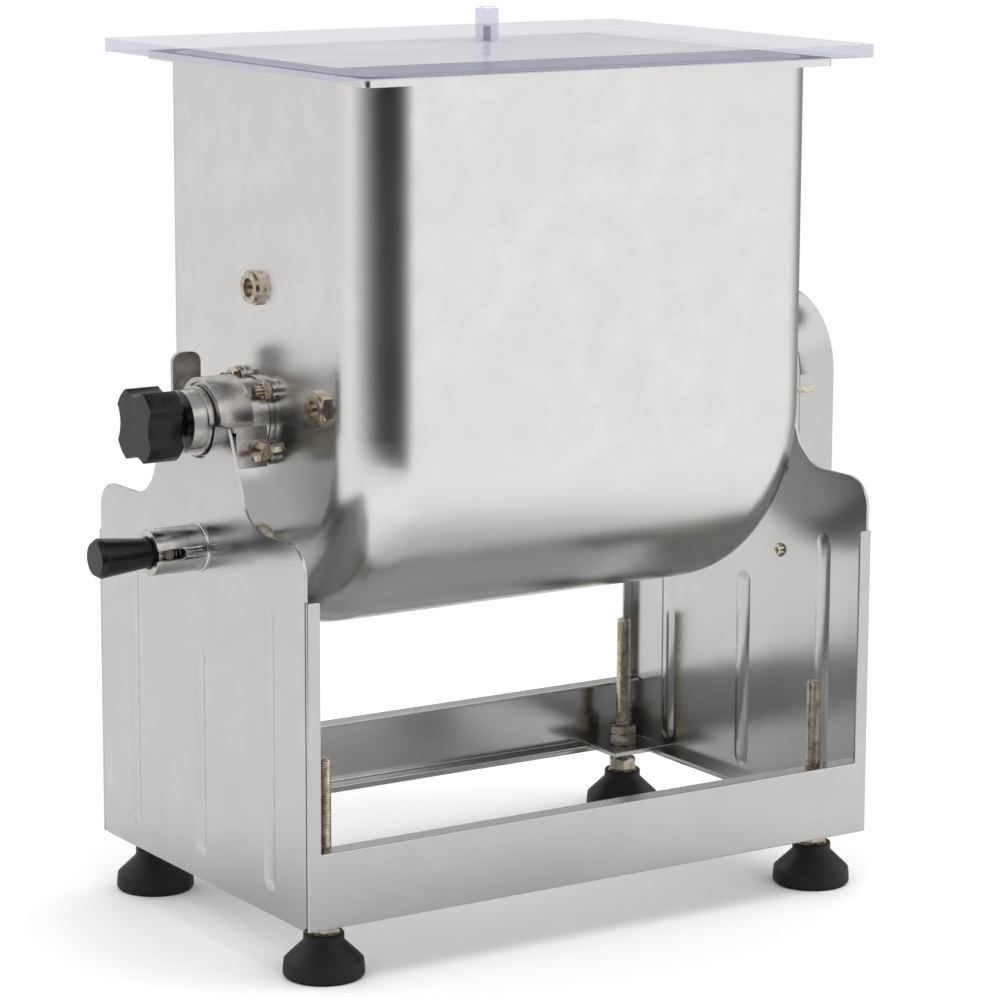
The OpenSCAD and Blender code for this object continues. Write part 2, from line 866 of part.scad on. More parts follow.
function gear_points(z) =
    let (
        rp = gear_module * z / 2,
        rt = rp + gear_module,
        rf = rp - 1.25 * gear_module,
        radii = [rf, rp - 0.6 * gear_module, rp, rt]
    )
    [for (i = [0 : z - 1]) each concat(
        [for (r = radii) [r, i * 360 / z - tooth_half(r, z)]],
        [for (k = [3 : -1 : 0]) [radii[k], i * 360 / z + tooth_half(radii[k], z)]]
    )];

// A spur gear along X whose first tooth points up, turned by an angle
module spur_gear(z, bore_r, turn) {
    points = [for (p = gear_points(z)) [p[0] * cos(p[1] + 90 + turn), p[0] * sin(p[1] + 90 + turn)]];
    slab_x(gear_x, gear_x + gear_w) difference() {
        polygon(points);
        circle(bore_r);
    }
}

module drive_gear() {
    color("darkgray") on_axis() spur_gear(gear_teeth, gear_shaft_r, 180);
}

module drive_pinion() {
    color("darkgray") input_line()
        spur_gear(pinion_teeth, input_journal_r + shaft_step, 180 / pinion_teeth);
}

module gear_shaft() {
    bush_out = cover_out - cover_wall;
    end_gap = 1;
    recess_w = square_af + 2 * run_fit;
    color(STEEL) on_axis() difference() {
        union() {
            rod_x(gear_shaft_r, gear_shaft_in, bush_out - bush_l - loose_gap);
            rod_x(out_journal_r, gear_shaft_in, bush_out - end_gap);
        }
        translate([gear_shaft_in - cut, -recess_w / 2, -recess_w / 2])
            cube([cut + square_l + square_room, recess_w, recess_w]);
    }
}

module input_shaft() {
    color(STEEL) input_line() difference() {
        union() {
            rod_x(input_journal_r, panel_in, gear_x + fuse);
            rod_x(input_journal_r + shaft_step, gear_x, sleeve_x + fuse);
            rod_x(input_sleeve_r, sleeve_x, socket_x);
        }
        rod_x(drive_bore_r, socket_x - drive_bore_depth, socket_x + cut);
    }
}

// ---------- tank ----------

// The tank's body of revolution below the axis and straight walls above it
module tank_form(hx, hy, r, top) {
    linear_extrude(top) round_rect(hx, hy, r);
    rotate([0, 90, 0]) rotate([0, 0, -90]) rotate_extrude(angle = 180) {
        intersection() {
            rotate([0, 0, 90]) round_rect(hx, hy, r);
            translate([0, -hx]) square([hy, 2 * hx]);
        }
    }
}

module tank_shell() {
    color(STEEL) on_axis() difference() {
        tank_form(tank_hx, tank_hy, tank_edge_r, rim_top - rim_h);
        tank_form(tank_hx - tank_wall, tank_hy - tank_wall, tank_edge_r - tank_wall, rim_top);
        rod_x(hub_bore_r, -tank_hx - cut, tank_hx + cut);
        hub_bolt_places() rod_x(bolt_r, -tank_hx - cut, tank_hx + cut);
        rest_stud_place() rod_x(rest_stud_r, tank_hx - 2 * tank_wall, tank_hx + cut);
    }
}

module tank_rim() {
    rim_corner_r = 4;
    color(STEEL) on_axis() translate([0, 0, rim_top - rim_h]) linear_extrude(rim_h) difference() {
        round_rect(tank_hx + rim_reach, tank_hy + rim_reach, rim_corner_r);
        round_rect(tank_hx - tank_wall, tank_hy - tank_wall, tank_edge_r - tank_wall);
    }
}

module hub_bolt_places() {
    for (a = [0 : 90 : 270]) {
        rotate([a + bolt_turn, 0, 0]) translate([0, hub_bolt_circle_r, 0]) children();
    }
}

// A hub: a flange with four ears on the tank's end wall and a tube out to the stand, along +X
module hub(tube_end) {
    flange_out = tank_hx + hub_flange_t;
    difference() {
        union() {
            rod_x(hub_flange_r, tank_hx, flange_out);
            hub_bolt_places() rod_x(hub_ear_r, tank_hx, flange_out);
            rod_x(hub_r, tank_hx, tube_end);
        }
        rod_x(hub_bore_r, tank_hx - cut, tube_end + cut);
        hub_bolt_places() rod_x(bolt_r, tank_hx - cut, flange_out + cut);
    }
}

module mirror_x() {
    mirror([1, 0, 0]) children();
}

module hub_tube() {
    color(STEEL) on_axis() mirror_x() hub(hub_end);
}

// Bolts of both hubs: a low head inside the tank and a shank out through the flange
module hub_bolts() {
    head_x = tank_hx - tank_wall;
    head_foot_r = 5.5;
    head_top_r = 3.5;
    tip_x = tank_hx + hub_flange_t + bolt_nut_h + bolt_proud;
    color(ZINC) on_axis() for (s = SIDES) {
        flip(s, [1, 0, 0]) hub_bolt_places() {
            rod_x(bolt_r, head_x - fuse, tip_x);
            translate([head_x, 0, 0]) rotate([0, -90, 0])
                cylinder(r1 = head_foot_r, r2 = head_top_r, h = bolt_head_h);
        }
    }
}

module hub_nuts() {
    color(ZINC) on_axis() for (s = SIDES) {
        flip(s, [1, 0, 0]) hub_bolt_places() translate([tank_hx + hub_flange_t, 0, 0])
            rotate([0, 90, 0]) nut(bolt_nut_af, bolt_nut_h, bolt_r + run_fit);
    }
}

module hub_seal() {
    color(DARK) on_axis() mirror_x()
        ring_x(hub_bore_r, shaft_r + loose_gap, tank_hx - tank_wall, plug_in - loose_gap);
}

module trunnion_tube() {
    color(STEEL) on_axis() hub(trunnion_end);
}

module trunnion_seal() {
    color(DARK) on_axis()
        ring_x(hub_bore_r, shaft_r + loose_gap, tank_hx - tank_wall, tank_hx + seal_reach);
}

module trunnion_bush() {
    color(BRASS) on_axis()
        ring_x(hub_bore_r, gear_shaft_r + run_fit, trunnion_end - trunnion_bush_l, trunnion_end);
}

// A hexagonal foot with a round collar, bored for the lock pin
module lock_socket() {
    chamfer = 0.8;
    difference() {
        union() {
            hex_bar(socket_af, socket_l - socket_collar_l, chamfer);
            cylinder(r = socket_collar_r, h = socket_l);
        }
        translate([0, 0, socket_floor]) cylinder(r = socket_bore_r, h = socket_l);
    }
}

module lock_sockets() {
    color(ZINC) on_axis() for (a = SOCKETS) {
        rotate([a, 0, 0]) translate([-tank_hx, lock_circle_r, 0]) rotate([0, -90, 0]) lock_socket();
    }
}

module rest_stud_place() {
    rotate([180 - rest_stud_angle, 0, 0]) translate([0, lock_circle_r, 0]) children();
}

module rest_stud() {
    color(ZINC) on_axis() rest_stud_place() rod_x(rest_stud_r, tank_hx - tank_wall, tank_hx + rest_stud_l);
}

// ---------- lid ----------

module lid_panel() {
    corner_r = 2;
    color(CLEAR, CLEAR_ALPHA) on_axis() translate([0, 0, rim_top]) difference() {
        linear_extrude(lid_t) round_rect(tank_hx + lid_reach_x, tank_hy + lid_reach_y, corner_r);
        translate([0, 0, -cut]) cylinder(r = screw_r, h = lid_t + 2 * cut);
    }
}

module lid_knob() {
    chamfer = 1.5;
    color(CLEAR, CLEAR_ALPHA) on_axis() translate([0, 0, rim_top + lid_t]) difference() {
        hex_bar(lid_knob_w, lid_knob_h, chamfer);
        translate([0, 0, -cut]) cylinder(r = screw_r, h = cut + screw_grip + screw_room);
    }
}

module lid_locators() {
    y = tank_hy - tank_wall - locator_gap - locator_w / 2;
    color(CLEAR, CLEAR_ALPHA) on_axis() for (s = SIDES) {
        translate([-locator_l / 2, s * y - locator_w / 2, rim_top - locator_w])
            cube([locator_l, locator_w, locator_w]);
    }
}

module lid_screw() {
    color(ZINC) on_axis() translate([0, 0, rim_top]) rotate([180, 0, 0])
        pan_screw(screw_r, screw_head_h, lid_t + screw_grip);
}

// ---------- mixer ----------

module mixer_shaft() {
    color(STEEL) on_axis() {
        rod_x(shaft_r, -shaft_left_end, gear_shaft_in - loose_gap);
        translate([gear_shaft_in - fuse, -square_af / 2, -square_af / 2])
            cube([fuse + square_l, square_af, square_af]);
    }
}

// Draws its children for each paddle, with +Z along the paddle's arm
module at_paddles() {
    span = 2 * (tank_hx - tank_edge_r - loose_gap);
    for (i = [0 : paddle_count - 1]) {
        translate([-span / 2 + i * span / (paddle_count - 1), 0, 0]) rotate([i * paddle_step, 0, 0])
            children();
    }
}

module paddle_arms() {
    color(STEEL) on_axis() at_paddles() difference() {
        cylinder(r = arm_r, h = paddle_reach - blade_h);
        rod_x(shaft_r, -2 * arm_r, 2 * arm_r);
    }
}

module paddle_blades() {
    color(STEEL) on_axis() at_paddles() rotate([0, 0, blade_angle])
        translate([-blade_w / 2, -blade_t / 2, paddle_reach - blade_h]) cube([blade_w, blade_t, blade_h]);
}

// ---------- end plug and star knob ----------

module end_plug() {
    color(STEEL) on_axis() mirror_x() difference() {
        union() {
            rod_x(hub_bore_r - run_fit, plug_in, hub_end + fuse);
            rod_x(plug_flange_r, hub_end + loose_gap, hub_end + loose_gap + plug_flange_t);
            rod_x(plug_boss_r, hub_end + plug_flange_t, plug_out);
        }
        rod_x(shaft_r + bush_wall, plug_in - cut, shaft_left_end + plug_gap);
        rod_x(knob_stud_r + run_fit, shaft_left_end + knob_stud_gap - screw_room, plug_out + cut);
    }
}

module plug_bush() {
    color(BRASS) on_axis() mirror_x()
        ring_x(shaft_r + bush_wall, shaft_r + run_fit, plug_in, shaft_left_end + plug_gap);
}

module star_knob() {
    color(DARK) on_axis() mirror_x() {
        rod_x(knob_stud_r, shaft_left_end + knob_stud_gap, knob_in + fuse);
        rod_x(knob_collar_r, knob_in, knob_in + knob_collar_t + fuse);
        slab_x(knob_in + knob_collar_t, knob_in + knob_collar_t + knob_t) difference() {
            circle(knob_r);
            for (i = [0 : knob_lobes - 1]) {
                rotate(i * 360 / knob_lobes) translate([knob_r - knob_hollow + knob_hollow_r, 0])
                    circle(knob_hollow_r);
            }
        }
    }
}

// ---------- feet ----------

module at_foot(sx, sy) {
    in_frame() translate([sx * stud_x, sy * stud_y, 0]) children();
}

module foot_pad(sx, sy) {
    side_h = 9;
    rounding = 1.5;
    shoulder = 2;
    collar_r = 12;
    collar_z = pad_h - 5;
    color(DARK) at_foot(sx, sy) rotate_extrude() polygon([
        [0, 0], [pad_r - rounding, 0], [pad_r, rounding],
        [pad_r, side_h], [pad_r - shoulder, side_h + shoulder],
        [collar_r, collar_z], [collar_r, pad_h], [stud_r, pad_h], [stud_r, stud_sink], [0, stud_sink]
    ]);
}

module foot_stud(sx, sy) {
    tip = 1;
    color(ZINC) at_foot(sx, sy) {
        translate([0, 0, stud_sink]) cylinder(r = stud_r, h = stand_z + stud_top - stud_sink - tip);
        translate([0, 0, stand_z + stud_top - tip]) cylinder(r1 = stud_r, r2 = stud_r - tip, h = tip);
        translate([0, 0, pad_h]) nut(nut_af, stand_z - pad_h - loose_gap, stud_r + run_fit);
    }
}

module foot_pad_fl() { foot_pad(-1, -1); }
module foot_pad_fr() { foot_pad(1, -1); }
module foot_pad_rl() { foot_pad(-1, 1); }
module foot_pad_rr() { foot_pad(1, 1); }
module foot_stud_fl() { foot_stud(-1, -1); }
module foot_stud_fr() { foot_stud(1, -1); }
module foot_stud_rl() { foot_stud(-1, 1); }
module foot_stud_rr() { foot_stud(1, 1); }

side_panel_left();
side_panel_right();
front_frame();
rear_frame();
corner_gussets();
weld_nuts();
jam_nuts();
hub_cradle();
hub_strap();
strap_washer();
lock_tube();
lock_guide();
lock_spring();
lock_pin();
lock_cross_pin();
lock_handle();
gear_back_plate();
gear_plate_screws();
gear_pillars();
gear_cover();
cover_screws();
trunnion_bearing();
output_bush();
input_bush_inner();
input_bush_outer();
drive_gear();
gear_shaft();
drive_pinion();
input_shaft();
tank_shell();
tank_rim();
hub_tube();
hub_bolts();
hub_nuts();
hub_seal();
trunnion_tube();
trunnion_seal();
trunnion_bush();
lock_sockets();
rest_stud();
lid_panel();
lid_knob();
lid_locators();
lid_screw();
mixer_shaft();
paddle_arms();
paddle_blades();
end_plug();
plug_bush();
star_knob();
wing_screw();
foot_pad_fl();
foot_stud_fl();
foot_pad_fr();
foot_stud_fr();
foot_pad_rl();
foot_stud_rl();
foot_pad_rr();
foot_stud_rr();
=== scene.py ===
"""Looks of the tilting-tank meat mixer: metals, plastics, fine pieces, studio light and camera."""

import json
import math

import bmesh
import bpy
from mathutils import Matrix, Vector


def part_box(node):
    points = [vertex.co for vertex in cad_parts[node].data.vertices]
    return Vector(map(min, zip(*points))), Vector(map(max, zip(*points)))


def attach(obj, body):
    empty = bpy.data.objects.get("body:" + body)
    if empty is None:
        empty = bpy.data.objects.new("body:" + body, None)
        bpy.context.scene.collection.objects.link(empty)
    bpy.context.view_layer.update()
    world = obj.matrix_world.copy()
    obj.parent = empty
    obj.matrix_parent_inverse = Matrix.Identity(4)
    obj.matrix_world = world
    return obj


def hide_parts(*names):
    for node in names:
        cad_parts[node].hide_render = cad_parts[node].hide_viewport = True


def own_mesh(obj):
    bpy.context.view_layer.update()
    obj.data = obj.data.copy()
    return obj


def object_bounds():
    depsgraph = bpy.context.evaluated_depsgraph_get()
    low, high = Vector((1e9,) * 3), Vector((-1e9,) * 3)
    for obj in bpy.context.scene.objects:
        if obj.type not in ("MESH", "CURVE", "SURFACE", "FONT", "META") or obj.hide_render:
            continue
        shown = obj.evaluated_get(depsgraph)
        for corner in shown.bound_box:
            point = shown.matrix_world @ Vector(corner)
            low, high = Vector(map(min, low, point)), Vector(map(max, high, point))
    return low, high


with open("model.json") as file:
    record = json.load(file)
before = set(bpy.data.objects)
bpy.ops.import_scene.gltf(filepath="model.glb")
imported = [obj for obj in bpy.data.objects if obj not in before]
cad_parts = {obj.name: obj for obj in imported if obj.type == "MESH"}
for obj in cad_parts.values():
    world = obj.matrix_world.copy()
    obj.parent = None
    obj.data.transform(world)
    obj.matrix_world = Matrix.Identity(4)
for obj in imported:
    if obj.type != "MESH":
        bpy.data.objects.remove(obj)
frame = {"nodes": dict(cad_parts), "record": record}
cad_low, cad_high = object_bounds()

MM = 0.001
X_AXIS = Vector((1, 0, 0))
Z_AXIS = Vector((0, 0, 1))
SHARP_ANGLE = math.radians(32)
COLOUR_MIX_FACTOR, COLOUR_MIX_A, COLOUR_MIX_B, COLOUR_MIX_RESULT = 0, 6, 7, 2


# ---------- materials ----------

class Nodes:
    """A node tree, with short calls to add nodes and link them."""

    def __init__(self, tree):
        self.tree = tree

    def feed(self, socket, value):
        """Links a socket to another, or sets it to a value."""
        if isinstance(value, bpy.types.NodeSocket):
            self.tree.links.new(value, socket)
        else:
            socket.default_value = value

    def node(self, kind, inputs, **settings):
        made = self.tree.nodes.new(kind)
        for name, value in settings.items():
            setattr(made, name, value)
        for name, value in inputs.items():
            self.feed(made.inputs[name], value)
        return made

    def calculate(self, operation, first, second=0.0):
        return self.node("ShaderNodeMath", {0: first, 1: second}, operation=operation).outputs[0]

    def parts(self, vector):
        """The X, Y and Z of a vector."""
        return self.node("ShaderNodeSeparateXYZ", {"Vector": vector}).outputs

    def spread(self, value, low, high, start=0.3, end=0.7):
        """value's run from start to end, spread from low to high."""
        inputs = {"Value": value, "From Min": start, "From Max": end, "To Min": low, "To Max": high}
        return self.node("ShaderNodeMapRange", inputs, interpolation_type="SMOOTHSTEP").outputs["Result"]

    def blend(self, factor, first, second):
        made = self.node("ShaderNodeMix", {}, data_type="RGBA")
        self.feed(made.inputs[COLOUR_MIX_FACTOR], factor)
        self.feed(made.inputs[COLOUR_MIX_A], first)
        self.feed(made.inputs[COLOUR_MIX_B], second)
        return made.outputs[COLOUR_MIX_RESULT]


class Finish(Nodes):
    """The node tree of a new material."""

    def __init__(self, name, **values):
        self.material = bpy.data.materials.new(name)
        self.material.use_nodes = True
        super().__init__(self.material.node_tree)
        self.shader = self.tree.nodes["Principled BSDF"]
        self.drive(**values)

    def drive(self, **values):
        """Feeds the shader's sockets, from nodes or with plain values."""
        for socket, value in values.items():
            self.feed(self.shader.inputs[socket.replace("_", " ")], value)

    def place(self, *stretch):
        """The point on the piece in metres, stretched along X, Y and Z."""
        coordinates = self.node("ShaderNodeTexCoord", {}).outputs["Object"]
        mapping = {"Vector": coordinates, "Scale": stretch or (1, 1, 1)}
        return self.node("ShaderNodeMapping", mapping).outputs["Vector"]

    def noise(self, where, scale, detail=2.0, roughness=0.5):
        inputs = {"Vector": where, "Scale": scale, "Detail": detail, "Roughness": roughness}
        return self.node("ShaderNodeTexNoise", inputs).outputs["Fac"]

    def bump(self, height, distance, strength=1.0, **normal):
        inputs = {"Height": height, "Distance": distance, "Strength": strength, **normal}
        return self.node("ShaderNodeBump", inputs).outputs["Normal"]


def grey(value, warmth=0.0):
    """A grey of that linear value, warmer or cooler by warmth."""
    return (value * (1 + warmth), value, value * (1 - warmth), 1)


def darker(colour, share):
    """That share of a colour's light, fully opaque."""
    return (*(part * share for part in colour[:3]), 1)


def satin_steel(name, base, warmth, rough, wave):
    """Sheet steel with a fine grain, faint handling marks and a slight waviness."""
    finish = Finish(name, Metallic=1.0)
    cloud = finish.noise(finish.place(), scale=9.0, detail=3.0)
    grain = finish.noise(finish.place(1, 1, 60), scale=700.0)
    marks = finish.noise(finish.place(), scale=45.0, detail=5.0, roughness=0.65)
    patches = finish.noise(finish.place(), scale=14.0)
    clean = grey(base, warmth)
    patched = finish.blend(finish.spread(patches, 0, 1, 0.42, 0.58), darker(clean, 0.955), clean)
    finish.drive(Base_Color=finish.blend(finish.spread(marks, 0, 1), darker(clean, 0.93), patched))
    finish.drive(Roughness=finish.spread(cloud, rough * 0.9, rough * 1.12))
    waves = finish.bump(cloud, wave)
    finish.drive(Normal=finish.bump(grain, 0.004 * MM, 0.6, Normal=waves))
    return finish.material


def turned_steel(name, base, warmth, rough):
    """Machined steel with fine rings round the tilt axis and a few darker marks."""
    finish = Finish(name, Metallic=1.0)
    rings = finish.noise(finish.place(1, 0.02, 0.02), scale=2600.0)
    marks = finish.noise(finish.place(), scale=160.0, detail=4.0, roughness=0.6)
    clean = grey(base, warmth)
    marked = finish.spread(marks, 0, 1, 0.35, 0.65)
    finish.drive(Base_Color=finish.blend(marked, darker(clean, 0.88), clean))
    finish.drive(Roughness=finish.spread(marks, rough * 1.25, rough * 0.85))
    finish.drive(Normal=finish.bump(rings, 0.006 * MM, 0.5))
    return finish.material


def zinc_plate(name, bright, dull, rough):
    """Plated fasteners: a yellowish film that varies, duller in the hollows."""
    finish = Finish(name, Metallic=1.0)
    film = finish.noise(finish.place(), scale=220.0, detail=4.0, roughness=0.6)
    grain = finish.noise(finish.place(), scale=2600.0)
    finish.drive(Base_Color=finish.blend(finish.spread(film, 0, 1, 0.35, 0.65), dull, bright))
    finish.drive(Roughness=finish.spread(film, rough * 1.2, rough * 0.85))
    finish.drive(Normal=finish.bump(grain, 0.01 * MM, 0.5))
    return finish.material


def moulded(name, base, rough, grain_size, grain_depth):
    """Moulded plastic or rubber: a fine grain, and roughness that varies where it is handled."""
    finish = Finish(name, Specular_IOR_Level=0.32)
    grain = finish.noise(finish.place(), scale=1 / grain_size, detail=3.0, roughness=0.6)
    handled = finish.noise(finish.place(), scale=60.0, detail=3.0)
    finish.drive(Base_Color=finish.blend(finish.spread(handled, 0, 1), darker(base, 0.8), base))
    finish.drive(Roughness=finish.spread(handled, rough * 1.15, rough * 0.88))
    finish.drive(Normal=finish.bump(grain, grain_depth, 0.6))
    return finish.material


# How far the normal leans to the upright axis, at a cut edge and at a face
EDGE_TO_FACE = (0.2, 0.9)


def clear_acrylic(name, face, edge, face_cover_painted_reflection, edge_cover_painted_shade):
    """Clear sheet: a painted reflection makes it pale over its faces, and painted shade makes it darker
    and denser where it is seen through its cut edges.
    """
    finish = Finish(name, IOR=1.49)
    cloud = finish.noise(finish.place(), scale=14.0)
    normal = finish.node("ShaderNodeTexCoord", {}).outputs["Normal"]
    flatness = finish.calculate("ABSOLUTE", finish.parts(normal)["Z"])
    # Painted light by which way the surface faces: the pale faces are a painted reflection, the darker
    # cut edges are painted shade
    cover = finish.spread(flatness, edge_cover_painted_shade, face_cover_painted_reflection, *EDGE_TO_FACE)
    finish.drive(Base_Color=finish.blend(finish.spread(flatness, 0, 1, *EDGE_TO_FACE), edge, face))
    finish.drive(Alpha=finish.calculate("MULTIPLY", cover, finish.spread(cloud, 0.95, 1.05)))
    finish.drive(Roughness=finish.spread(cloud, 0.05, 0.09))
    finish.drive(Normal=finish.bump(cloud, 0.08 * MM, 0.5))
    return finish.material


def cast_gear(name):
    """Cut gear steel, greased: dark, with a soft sheen that varies."""
    finish = Finish(name, Metallic=0.85)
    grease = finish.noise(finish.place(), scale=120.0, detail=4.0, roughness=0.6)
    dark, bare = grey(0.12, 0.05), grey(0.26, 0.02)
    finish.drive(Base_Color=finish.blend(finish.spread(grease, 0, 1), dark, bare))
    finish.drive(Roughness=finish.spread(grease, 0.22, 0.5))
    finish.drive(Normal=finish.bump(grease, 0.05 * MM, 0.5))
    return finish.material


MATERIALS = {
    "stand_steel": satin_steel("stand_steel_look", base=0.59, warmth=0.006, rough=0.19, wave=0.10 * MM),
    "tank_steel": satin_steel("tank_steel_look", base=0.77, warmth=0.014, rough=0.23, wave=0.14 * MM),
    "turned_steel": turned_steel("turned_steel_look", base=0.52, warmth=0.03, rough=0.24),
    "zinc_steel": zinc_plate(
        "zinc_look", bright=(0.66, 0.62, 0.53, 1), dull=(0.42, 0.37, 0.28, 1), rough=0.24),
    # The acrylic's pale face colour is a painted reflection, and its darker edge colour is painted shade
    "clear_acrylic": clear_acrylic(
        "acrylic_look", face=(0.88, 0.885, 0.93, 1), edge=(0.52, 0.52, 0.68, 1),
        face_cover_painted_reflection=0.70, edge_cover_painted_shade=0.36),
    "black_plastic": moulded(
        "black_plastic_look", base=(0.0075, 0.007, 0.0078, 1), rough=0.27,
        grain_size=0.5 * MM, grain_depth=0.02 * MM),
    "foot_rubber": moulded(
        "foot_rubber_look", base=(0.0085, 0.008, 0.0085, 1), rough=0.46,
        grain_size=0.9 * MM, grain_depth=0.05 * MM),
    "seal_rubber": moulded(
        "seal_rubber_look", base=(0.03, 0.03, 0.03, 1), rough=0.6,
        grain_size=0.8 * MM, grain_depth=0.05 * MM),
    "bronze": zinc_plate(
        "bronze_look", bright=(0.62, 0.42, 0.19, 1), dull=(0.42, 0.27, 0.11, 1), rough=0.3),
    "gear_steel": cast_gear("gear_steel_look"),
    "spring_steel": turned_steel("spring_steel_look", base=0.4, warmth=0.0, rough=0.25),
}


def dress_nodes():
    """Gives each CAD node the material of its slot."""
    for row in frame["record"]["subparts"]:
        mesh = frame["nodes"][row["node"]].data
        mesh.materials.clear()
        mesh.materials.append(MATERIALS[row["material_slot"]])


# Corners nearer to each other than this are one corner
WELD_DISTANCE = 0.002 * MM
# Width of the rounding on the cut edges of CAD nodes, in millimetres
EDGE_ROUNDING = {
    "side_panel_left": 0.5, "side_panel_right": 0.5, "front_frame": 0.7, "rear_frame": 0.7,
    "corner_gussets": 0.4, "hub_cradle": 0.5, "hub_strap": 0.5, "strap_washer": 0.2,
    "lock_tube": 0.7, "lock_cross_pin": 0.4, "gear_back_plate": 0.4, "gear_cover": 1.2,
    "tank_rim": 0.8, "hub_tube": 0.6, "trunnion_tube": 0.6, "lid_panel": 0.5, "lid_locators": 0.4,
    "end_plug": 0.7, "wing_screw": 0.6, "gear_plate_screws": 0.3, "cover_screws": 0.3,
    "rest_stud": 0.5, "paddle_blades": 0.5, "input_shaft": 0.6, "mixer_shaft": 0.8,
    "star_knob": 1.3, "lock_handle": 0.5, "lock_pin": 0.3, "lid_knob": 0.4,
}


def round_edges(piece, width, segments=2):
    """Rounds a piece's sharp edges with a small bevel."""
    bevel = piece.modifiers.new("rounded_edges", "BEVEL")
    bevel.width = width
    bevel.segments = segments
    bevel.limit_method = "ANGLE"
    bevel.angle_limit = SHARP_ANGLE
    bevel.use_clamp_overlap = True
    bevel.harden_normals = False


def soften_nodes():
    """Rounds the cut edges that a hand would feel on each CAD node."""
    for node, width in EDGE_ROUNDING.items():
        piece = frame["nodes"][node]
        weld = piece.modifiers.new("joined_corners", "WELD")
        weld.merge_threshold = WELD_DISTANCE
        round_edges(piece, width * MM)


# ---------- fine pieces ----------

# All sizes in this section are in millimetres
LATHE_STEPS = 96
NUT_STEPS = 72
NUT_WIDTH = 17.0
NUT_FACE_SHARE = 0.97
NUT_HOLE_GAP = 0.1
CHAMFER_SLOPE = math.tan(math.radians(30))
FOOT_NUT_H = 8.0
STUD_RADIUS = 5.0
THREAD_STEPS = 24
THREAD_PITCH = 1.5
THREAD_DEPTH = 0.85
THREAD_RINGS = 5
THREAD_TIP = 1.0
WELD_STEPS = 8
WELD_RADIUS = 1.3
WELD_OVERLAP = 0.4
SPRING_TURNS = 6
SPRING_STEPS = 32
SPRING_SIDES = 10
SPRING_WIRE_RADIUS = 0.6
CORNERS = {
    "fl": "foot_front_left", "fr": "foot_front_right",
    "rl": "foot_rear_left", "rr": "foot_rear_right",
}

# Half section of a foot pad from its underside up: radius and height
PAD_PROFILE = [
    (18.5, 1.2), (20.0, 0.0), (23.0, 0.0), (24.5, 2.0), (24.3, 7.2), (24.0, 7.8), (23.9, 10.2),
    (22.6, 11.6), (12.6, 21.3), (12.2, 22.2), (12.2, 26.2), (11.6, 27.0), (10.4, 27.0),
    (10.2, 25.6), (5.3, 25.6),
]
# Half section of the steel cup between a pad and its nut
CUP_PROFILE = [(5.2, 25.7), (9.4, 25.7), (10.1, 26.3), (9.6, 27.0), (5.2, 27.0)]


def at_angle(value, angle):
    """A size at an angle, from a plain number or from a function of the angle."""
    return value(angle) if callable(value) else value


def ring(bm, centre, height, radius, steps):
    """A ring of corners about an upright line. Height and radius may change with the angle."""
    corners = []
    for step in range(steps):
        angle = 2 * math.pi * step / steps
        reach = at_angle(radius, angle) * MM
        level = at_angle(height, angle) * MM
        place = (centre.x + reach * math.cos(angle), centre.y + reach * math.sin(angle), level)
        corners.append(bm.verts.new(place))
    return corners


def skin(bm, rings, closed=False):
    """Faces between each ring and the next. The ends are capped unless the last joins the first."""
    pairs = list(zip(rings, rings[1:]))
    if closed:
        pairs.append((rings[-1], rings[0]))
    else:
        bm.faces.new(rings[0][::-1])
        bm.faces.new(rings[-1])
    for low, high in pairs:
        for index in range(len(low)):
            after = (index + 1) % len(low)
            bm.faces.new((low[index], low[after], high[after], high[index]))


def lathe(bm, centre, profile, closed=False):
    """Turns a half section about an upright line."""
    rings = [ring(bm, centre, height, radius, LATHE_STEPS) for radius, height in profile]
    skin(bm, rings, closed)


def hex_radius(angle):
    """Radius of a nut's six-sided outline at an angle."""
    return NUT_WIDTH / 2 / math.cos(angle % (math.pi / 3) - math.pi / 6)


def nut(bm, centre, low, high):
    """A hexagonal nut with the curved edges that its round chamfers leave."""
    face = NUT_WIDTH / 2 * NUT_FACE_SHARE
    hole = STUD_RADIUS + NUT_HOLE_GAP

    def chamfer(angle):
        return (hex_radius(angle) - face) * CHAMFER_SLOPE

    section = [
        (low, hole),
        (low, face),
        (lambda angle: low + chamfer(angle), hex_radius),
        (lambda angle: high - chamfer(angle), hex_radius),
        (high, face),
        (high, hole),
    ]
    rings = [ring(bm, centre, height, radius, NUT_STEPS) for height, radius in section]
    skin(bm, rings, closed=True)


def thread(bm, centre, low, high):
    """A stud with a cut thread between two heights, and a chamfered tip."""
    length = high - THREAD_TIP - low
    count = int(length / THREAD_PITCH * THREAD_RINGS)
    rings = []
    for index in range(count + 1):
        height = low + length * index / count

        def groove(angle, height=height):
            turn = (height / THREAD_PITCH - angle / (2 * math.pi)) % 1
            return STUD_RADIUS - THREAD_DEPTH * abs(2 * turn - 1)

        rings.append(ring(bm, centre, height, groove, THREAD_STEPS))
    rings.append(ring(bm, centre, high, STUD_RADIUS - 2 * THREAD_DEPTH, THREAD_STEPS))
    skin(bm, rings)


def add_piece(name, bm, body, slot, *nodes):
    """Makes a piece that stands for CAD nodes, rides on their body and takes its finish from a slot."""
    bmesh.ops.recalc_face_normals(bm, faces=bm.faces)
    for face in bm.faces:
        face.smooth = True
    for edge in bm.edges:
        edge.smooth = edge.calc_face_angle(0) < SHARP_ANGLE
    mesh = bpy.data.meshes.new(name)
    bm.to_mesh(mesh)
    bm.free()
    mesh.materials.append(MATERIALS[slot])
    piece = bpy.data.objects.new(name, mesh)
    bpy.context.scene.collection.objects.link(piece)
    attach(piece, body)
    if nodes:
        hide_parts(*nodes)
    return piece


def middle(node):
    """The middle of a node's box, in metres."""
    low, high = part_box(node)
    return (Vector(low) + Vector(high)) / 2


def box_mm(node):
    """The two corners of a node's box, in millimetres."""
    return [Vector(corner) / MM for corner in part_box(node)]


